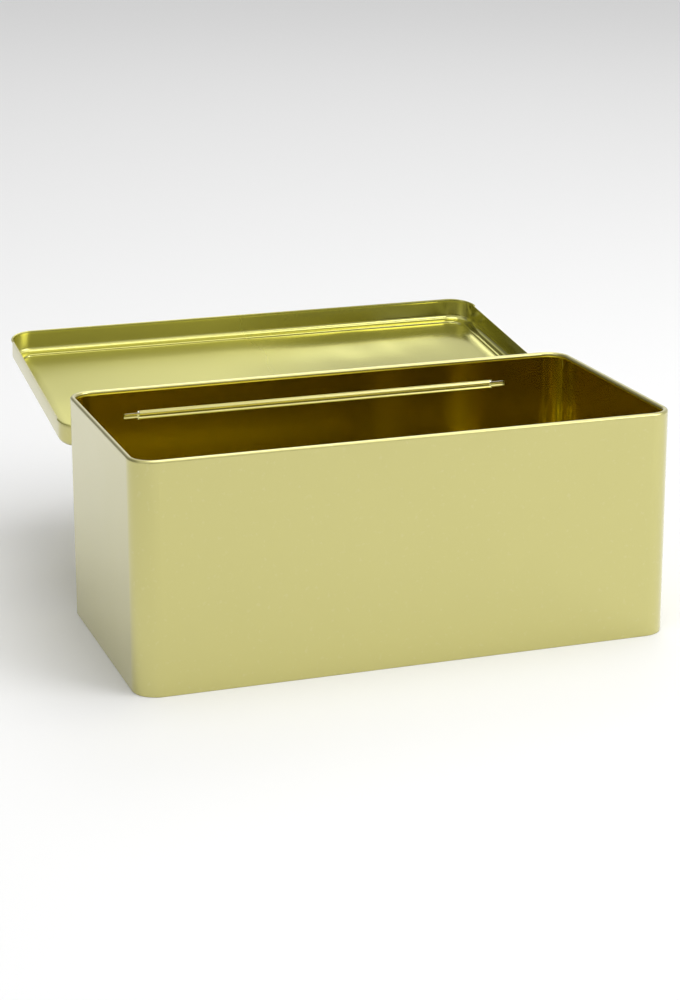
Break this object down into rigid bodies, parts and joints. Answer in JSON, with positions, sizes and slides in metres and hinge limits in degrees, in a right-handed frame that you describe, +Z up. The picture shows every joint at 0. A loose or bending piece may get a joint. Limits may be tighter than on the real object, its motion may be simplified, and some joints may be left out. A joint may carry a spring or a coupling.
{
  "type": "hinged storage tin",
  "caption": "Rectangular tinplate box with rounded upright corners and a wire-hinged lid that folds back flat, for dry goods such as spices.",
  "frame": {"origin": "centre of the plane the box stands on, under the middle of the box without its open lid", "axes": "+X along the hinge, +Y from the front towards the hinge side, +Z up"},
  "size_m": [0.2026, 0.2026, 0.0845],
  "materials": {
    "lacquered_wall": "satin gold lacquer on tinplate",
    "lacquered_bottom": "satin gold lacquer on tinplate",
    "hinge_wire": "drawn, tinned",
    "lacquered_lid": "satin gold lacquer on tinplate"
  },
  "bodies": {
    "box": {"body_wall": "lacquered_wall", "bottom_panel": "lacquered_bottom", "hinge_wire": "hinge_wire"},
    "lid": {"lid": "lacquered_lid"}
  },
  "joints": [
    {"name": "lid_hinge", "type": "hinge", "parent": "box", "child": "lid", "pos_m": [0, 0.0507, 0.0733], "axis": [1, 0, 0], "range_deg": [0, 172.4]}
  ]
}
